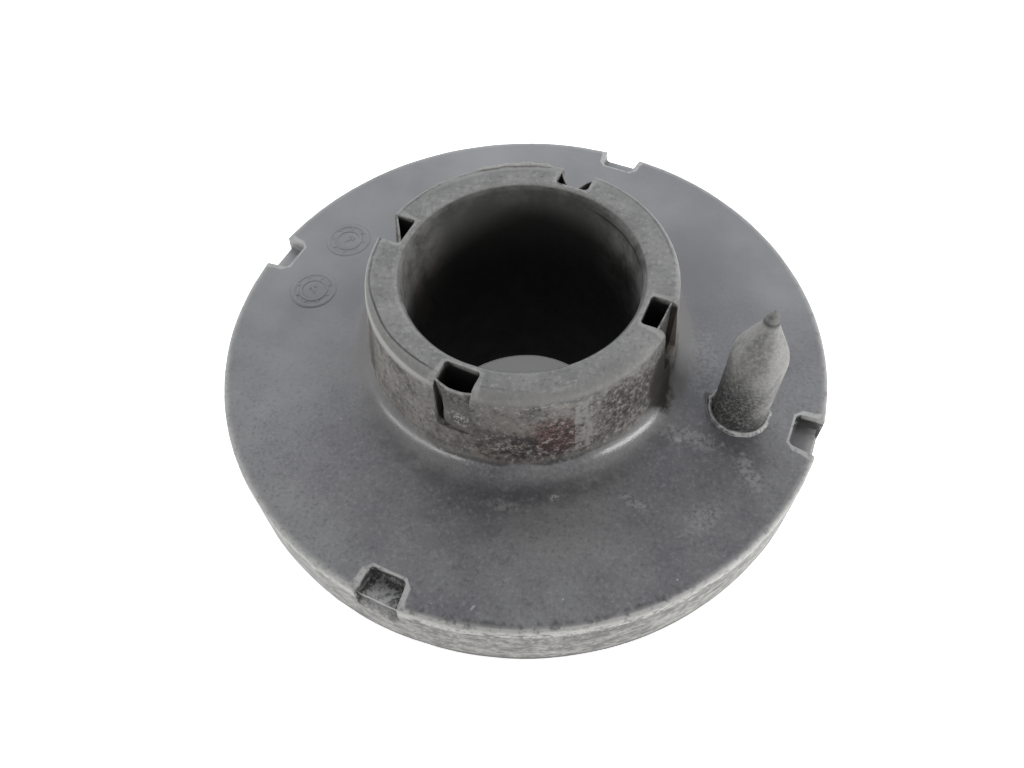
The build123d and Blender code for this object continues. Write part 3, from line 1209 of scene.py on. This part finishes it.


# %% [markdown]
# The rim was rubbed pale and streaky along its run, apart from a dark line at its lower edge. A
# paler band along its upper edge is dust and a painted highlight. At the front a dark, toothed
# fringe runs along the upper edge.

# %% Rubber of the rim
def rim(mix):
    wall = mix.where(radius=(61.4, 62.3), over_pad=(-0.1, -0.8))
    streaks = mix.noise(26, detail=5, rough=0.75, stretch=(1, 1, 14))
    blotches = mix.noise(3.0, detail=3, rough=0.7, stretch=(1, 1, 1.6), shift=(5, 5, 5))
    tone = mix.scaled(blotches, 0.65, mix.scaled(streaks, 0.35))
    pale = mix.blend((0.090, 0.086, 0.080), (0.370, 0.360, 0.335), mix.fade(tone, 0.38, 0.62))
    grit = mix.noise(1.0, detail=1, rough=0.85, stretch=(1, 1, 1.5))
    pale = mix.blend(pale, (0.080, 0.076, 0.072), mix.fade(grit, 0.47, 0.28), 0.6)
    pale = mix.blend(pale, (0.58, 0.57, 0.54), mix.fade(grit, 0.56, 0.74), 0.5)
    mix.lay(pale, wall, 0.92)
    # Dust and a painted highlight: a paler band along the rim's upper edge.
    shoulder = mix.both(mix.fade(mix.radius, 61.4, 62.1), mix.band(mix.over_pad, -2.2, -0.4, 0.6))
    mix.lay((0.56, 0.55, 0.52), shoulder, mix.fade(tone, 0.38, 0.54), mix.fade(grit, 0.30, 0.55), 0.85)
    mix.lay((0.035, 0.033, 0.030), wall, mix.fade(mix.z, underside / mm + 2.1, underside / mm + 1.3), 0.9)

    outwards = mix.node("VectorMath", {0: mix.joined(mix.x, mix.y, 0.0)}, operation="NORMALIZE")
    teeth = mix.noise(0.02, detail=2, vector=outwards.outputs[0])
    fringe_radius = mix.scaled(teeth, 2.4, mix.radius)
    fringe = mix.both(mix.band(fringe_radius, 62.6, 64.0, 0.7), mix.fade(mix.radius, 62.4, 61.9))
    in_front = mix.both(mix.fade(mix.y, -48, -57), mix.band(mix.x, -22, 22, 14))
    mix.lay((0.050, 0.049, 0.052), fringe, in_front, 0.75)


# %% [markdown]
# The notches and pockets hold gritty dirt, and painted shade makes the notches darkest in their
# corners. Dirt and painted shade make the pockets dark inside. The notch on the right has a
# smoother floor, darker at its far end.

# %% Rubber in the notches and pockets
def hollows(mix, pocket_dirt_and_shade):
    turn = mix.math("RADIANS", mix.degrees_from(feature_azimuths[0]))
    out = mix.both(mix.radius, mix.math("COSINE", turn))
    aside = mix.math("ABSOLUTE", mix.both(mix.radius, mix.math("SINE", turn)))
    notch = mix.both(mix.fade(out, 56.7, 57.1), mix.fade(aside, 4.6, 4.3))
    notch = mix.both(notch, mix.fade(mix.over_pad, -0.15, -0.9), mix.fade(mix.over_pad, -6.5, -5))
    front = mix.fade(mix.y, 0, -10)
    grit = mix.noise(0.85, detail=2, rough=0.85, shift=(8, 8, 8))
    # Painted shade: the grit is lifted in the middle of the floor, so the corners stay darker.
    centre = mix.both(mix.fade(aside, 3.4, 1.2), mix.fade(out, 57.3, 59.2))
    grit = mix.scaled(centre, 0.15, grit)
    gritty = mix.blend((0.018, 0.018, 0.018), (0.42, 0.42, 0.41), mix.fade(grit, 0.46, 0.70))
    mix.lay(gritty, notch, front, mix.fade(mix.x, 0, -10), 0.85)
    smooth_floor = mix.both(notch, front, mix.fade(mix.x, 0, 10))
    mix.lay((0.140, 0.138, 0.142), smooth_floor, 0.7)
    # Darker towards the far end of the right notch's floor.
    mix.lay((0.030, 0.029, 0.030), smooth_floor, mix.fade(mix.y, -23.5, -21.5), 0.8)
    # Dirt and painted shade darken the inside of the pockets.
    pocket = mix.both(mix.band(out, 24.55, 29.6, 0.15), mix.fade(aside, 3.75, 3.5))
    pocket = mix.both(pocket, mix.fade(mix.over_boss, -0.1, -0.6))
    pocket = mix.both(pocket, mix.fade(mix.z, pocket_floor / mm - 2, pocket_floor / mm - 1))
    mix.lay((0.022, 0.021, 0.020), pocket, pocket_dirt_and_shade)
    # Dirt and painted shade in concave corners, from the hollow attribute.
    dirt_and_shade_place = mix.either(mix.fade(mix.radius, 45, 40), front)
    from_flute = mix.math("ABSOLUTE", mix.degrees_from(flute_azimuth))
    dirt_and_shade_place = mix.both(dirt_and_shade_place, mix.fade(from_flute, 4.5, 6.0))
    dirt = mix.both(mix.attribute("hollow"), dirt_and_shade_place, mix.fade(mix.z, underside / mm, underside / mm + 2))
    mix.lay((0.03, 0.03, 0.03), dirt, 0.8)


# %% [markdown]
# The pin's rubber is coarser, with pale grains on a dark ground. Its left side is painted darker
# low down, as painted shade, and its foot is darker still, by grime and painted shade. Worn edges
# come last, over everything else, as wear and a painted highlight.

# %% Rubber of the pin, and worn edges with a painted highlight
def pin_grain(mix):
    aside = mix.math("SUBTRACT", mix.x, pin_place.x / mm)
    back = mix.math("SUBTRACT", mix.y, pin_place.y / mm)
    on_pin = mix.both(mix.fade(mix.distance(back, aside), 5.9, 5.6), mix.fade(mix.over_pad, 0.3, 1.0))
    grain = mix.noise(0.6, detail=2, rough=0.85, shift=(1, 2, 3))
    smear = mix.noise(4.0, detail=3, rough=0.6, stretch=(1, 1, 0.5))
    ground = mix.blend((0.160, 0.158, 0.154), (0.325, 0.321, 0.310), mix.fade(smear, 0.30, 0.65))
    # Painted shade: the pin's left side, low down, is painted darker.
    shady = mix.both(mix.fade(aside, 3.8, -2.2), mix.fade(mix.over_pad, 20, 8), 0.95)
    ground = mix.blend(ground, (0.036, 0.035, 0.034), shady, mix.fade(smear, 0.15, 0.50))
    # Grime and painted shade: the pin's foot is painted darker.
    base_grime_and_shade = mix.both(mix.fade(mix.over_pad, 8, 1), mix.fade(aside, 5.0, 2.5), 0.9)
    ground = mix.blend(ground, (0.022, 0.021, 0.020), base_grime_and_shade, mix.fade(smear, 0.28, 0.50))
    nib = mix.fade(mix.z, pin_tip / mm - 3.3, pin_tip / mm - 2.1)
    ground = mix.blend(ground, (0.36, 0.355, 0.34), mix.fade(grain, 0.50, 0.64), 0.48)
    pitted = mix.scaled(mix.either(shady, base_grime_and_shade), 0.62, 0.16)
    ground = mix.blend(ground, (0.016, 0.016, 0.016), mix.fade(grain, 0.49, 0.36), pitted)
    ground = mix.blend(ground, (0.062, 0.061, 0.061), nib, 0.9)
    mix.lay(ground, on_pin, 0.94)
    crevice = mix.patch((36.5, -16.8, 0.3), (0.9, 1.5, 1.4), 10, ragged=0.5, grain=1.0, soft=0.3)
    mix.lay((0.014, 0.013, 0.012), crevice, 0.9)
    mix.roughen(on_pin, mix.scaled(nib, 0.30, 0.15))


def worn_and_highlit_edges(mix):
    on_top = mix.scaled(mix.fade(mix.over_boss, -1.6, -0.8), 0.45)
    level = mix.either(on_top, mix.band(mix.over_pad, -3.2, 1.5, 0.5))
    # Wear and a painted highlight: convex edges are painted paler.
    worn = mix.both(mix.fade(mix.attribute("worn"), 0.14, 0.48), level)
    chips = mix.noise(1.4, detail=2, rough=0.7, shift=(0, 9, 9))
    mix.lay((0.46, 0.455, 0.44), worn, mix.fade(chips, 0.20, 0.55), 0.80)


# %% [markdown]
# All layers come together in one material. The skins get materials of their own: dirt and
# painted shade lie less on the clean ones, and more, with gritty crumbs and painted glints, on
# those at the front. A very fine unevenness goes with the grain.

# %% Mix the rubber
def crumbs(mix, share):
    grit = mix.noise(1.0, detail=2, rough=0.85, shift=(4, 9, 2))
    dirt = mix.blend((0.030, 0.028, 0.027), (0.150, 0.145, 0.138), mix.fade(grit, 0.36, 0.62))
    dirt = mix.blend(dirt, (0.135, 0.130, 0.124), mix.fade(mix.over_boss, -3.2, -4.6), 0.55)
    # Painted glints: pale specks on the front skin's lower part.
    painted_glints = mix.patch((-11.4, -27.4, 12.2), (2.3, 2.6, 1.7), ragged=0.8, grain=1.2, soft=0.3)
    dirt = mix.blend(dirt, (0.50, 0.49, 0.47), painted_glints, mix.fade(grit, 0.50, 0.58), 0.9)
    mix.lay(dirt, mix.fade(mix.over_boss, -0.7, -1.3), share)


def rubber(name, pocket_dirt_and_shade, gritty=0.0):
    mix = Layers(name)
    fine = pad_face(mix)
    grit = mix.noise(1.1, detail=2, rough=0.85, shift=(2, 2, 8))
    boss_foot(mix, grit)
    wall = boss_side(mix, grit)
    boss_crown(mix, wall)
    bore(mix)
    rim(mix)
    hollows(mix, pocket_dirt_and_shade)
    pin_grain(mix)
    worn_and_highlit_edges(mix)
    if gritty:
        crumbs(mix, gritty)
    bump = mix.node("Bump", {"Strength": 0.4, "Distance": 0.07 * mm, "Height": fine})
    looks = {"Base Color": mix.colour, "Roughness": mix.roughness, "Normal": bump.outputs[0]}
    for look, value in looks.items():
        mix.feed(mix.shader.inputs[look], value)
    return mix.material


black_rubber = rubber("black_rubber", 0.85)
clean_skin = rubber("clean_skin", 0.2)
gritty_skin = rubber("gritty_skin", 0.6, gritty=0.85)
finishes = dict(zip(skins, (clean_skin, clean_skin, gritty_skin, gritty_skin)))
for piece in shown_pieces():
    piece.data.materials.clear()
    piece.data.materials.append(finishes.get(piece, black_rubber))

# %% [markdown]
# ## The studio
#
# The pad lies on a white table that reaches far past the picture. To the camera the table is
# simply white, apart from the pad's own soft shadow, so a little light of its own is added to it
# for camera rays only. The world gives even light from all round.

# %% Table and light
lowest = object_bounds()[0].z
table = new_piece("table", bpy.ops.mesh.primitive_plane_add, size=6, location=(0, 0, lowest))
white = Nodes("white_table")
white.shader.inputs["Base Color"].default_value = (0.8, 0.8, 0.8, 1)
white.shader.inputs["Roughness"].default_value = 0.9
white.shader.inputs["Specular IOR Level"].default_value = 0.0
path = white.node("LightPath", {}).outputs
mirrored = white.math("MAXIMUM", path["Is Glossy Ray"], path["Is Transmission Ray"])
looked_at = white.math("MAXIMUM", path["Is Camera Ray"], mirrored)
from_axis = white.length(white.node("TexCoord", {}).outputs["Object"])
glow_place = {"Value": from_axis, "From Min": 30 * mm, "From Max": 60 * mm}
glow = white.node("MapRange", {**glow_place, "To Min": 0.12, "To Max": 0.26}).outputs["Result"]
seen = white.node("BsdfDiffuse", {"Color": (1.6, 1.6, 1.6, 1)}).outputs[0]
glowing = white.node("AddShader", {0: seen, 1: white.node("Emission", {"Strength": glow}).outputs[0]})
choice = white.node("MixShader", {0: looked_at, 1: white.shader.outputs[0], 2: glowing.outputs[0]})
white.feed(white.tree.nodes["Material Output"].inputs["Surface"], choice.outputs[0])
table.data.materials.append(white.material)

world = bpy.data.worlds.new("studio")
bpy.context.scene.world = world
world.use_nodes = True
sky = world.node_tree.nodes["Background"].inputs
sky["Color"].default_value = (1, 1, 1, 1)
sky["Strength"].default_value = 0.27


lamp_distance = 0.65


def soft_lamp(name, azimuth, elevation, size, watts, colour=(1, 1, 1)):
    """A soft box that looks at the pad."""
    data = bpy.data.lights.new(name, "AREA")
    data.shape = "RECTANGLE"
    data.size, data.size_y = size
    data.energy = watts
    data.color = colour
    lamp = bpy.data.objects.new(name, data)
    bpy.context.scene.collection.objects.link(lamp)
    turn = math.radians(azimuth)
    rise = math.radians(elevation)
    level = lamp_distance * math.cos(rise)
    away = Vector((level * math.cos(turn), level * math.sin(turn), lamp_distance * math.sin(rise)))
    lamp.location = Vector((0, 0, pad_top)) + away
    lamp.rotation_euler = (-away).to_track_quat("-Z", "Y").to_euler()
    return lamp


soft_lamp("lamp_behind", 90, 42, (1.1, 0.30), 3.9, (0.93, 0.96, 1.0))
soft_lamp("lamp_front_right", 331, 15, (0.40, 0.13), 2.8)
soft_lamp("lamp_front_left", 210, 12, (0.70, 0.08), 1.9)
print("table at", round(lowest / mm, 2), "mm, three soft lamps", lamp_distance, "m away")

# %% [markdown]
# The camera was found by fitting the pad's outlines to the photograph: a wide lens, close to
# the pad, looking down at 56 degrees.

# %% Camera
camera_data = bpy.data.cameras.new("camera")
camera_data.sensor_width = 36
camera_data.lens = 26.93
camera_data.clip_start = 5 * mm
camera = bpy.data.objects.new("camera", camera_data)
bpy.context.scene.collection.objects.link(camera)
camera.location = (0, -99.27 * mm, 167.90 * mm)
camera.rotation_euler = [math.radians(turn) for turn in (34.047, 1.348, -0.405)]
bpy.context.scene.camera = camera
bpy.context.scene.view_settings.view_transform = "Standard"
print("camera", [round(part / mm, 2) for part in camera.location], "mm, lens", round(camera_data.lens, 2))
